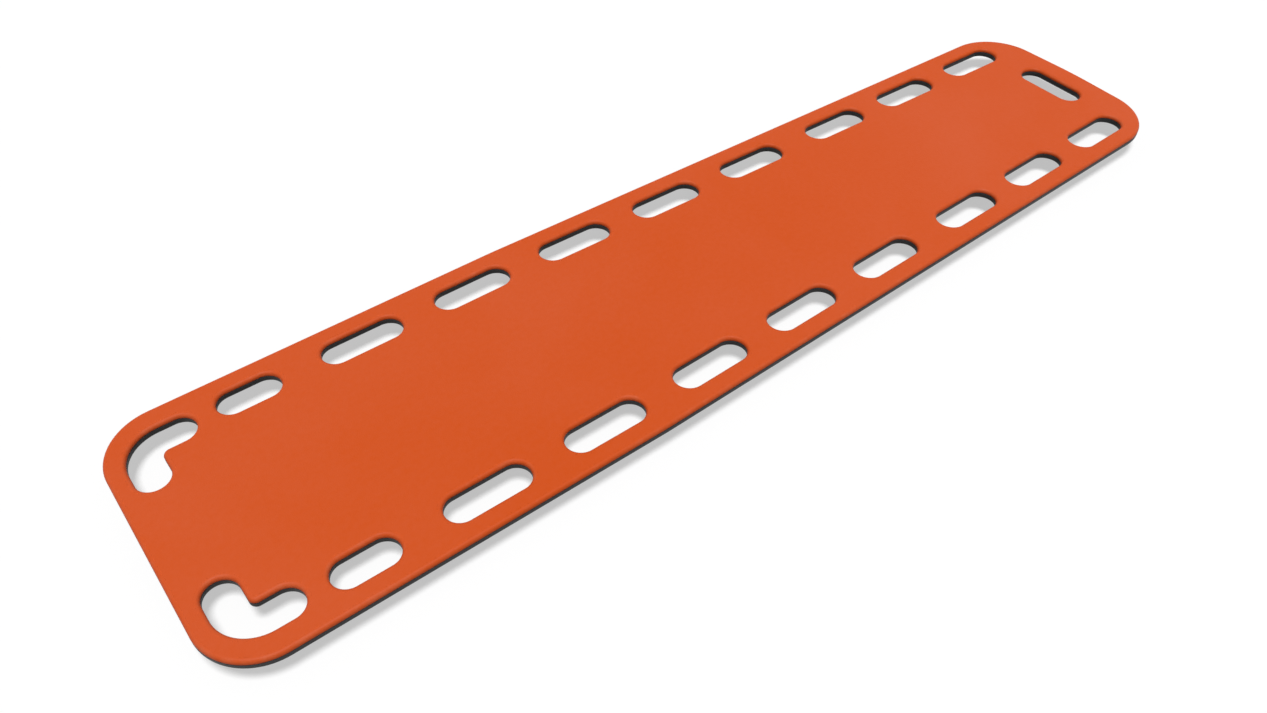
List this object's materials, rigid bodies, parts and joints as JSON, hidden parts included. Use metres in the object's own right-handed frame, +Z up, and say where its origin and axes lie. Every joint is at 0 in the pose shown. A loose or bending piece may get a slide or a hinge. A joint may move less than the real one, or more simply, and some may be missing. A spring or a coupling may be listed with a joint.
{
  "type": "spine board",
  "caption": "Long flat rescue board, wide at the head and narrower at the foot, with oblong hand holds along its rim and bent ones in the head corners.",
  "frame": {"origin": "centre of the bounding box's bottom face, on the floor that the runners rest on", "axes": "+X along the board from the head end to the foot end, +Y across it to the left side, +Z up out of the deck"},
  "size_m": [1.84, 0.457, 0.045],
  "materials": {
    "deck_plastic": "moulded polyethylene with a fine grain",
    "base_plastic": "moulded polyethylene with a fine grain, scuffed on the runners",
    "foam": "closed-cell foam",
    "rod": "pultruded glass-fibre rod",
    "plug": "moulded polyethylene plug"
  },
  "bodies": {
    "root": {"deck_skin": "deck_plastic", "base_skin": "base_plastic", "foam_core": "foam", "rod_left_outer": "rod", "rod_left_inner": "rod", "rod_right_inner": "rod", "rod_right_outer": "rod", "fill_plug_head": "plug", "fill_plug_foot": "plug", "vent_plug_head_left": "plug", "vent_plug_head_right": "plug", "vent_plug_foot_left": "plug", "vent_plug_foot_right": "plug"}
  },
  "joints": []
}
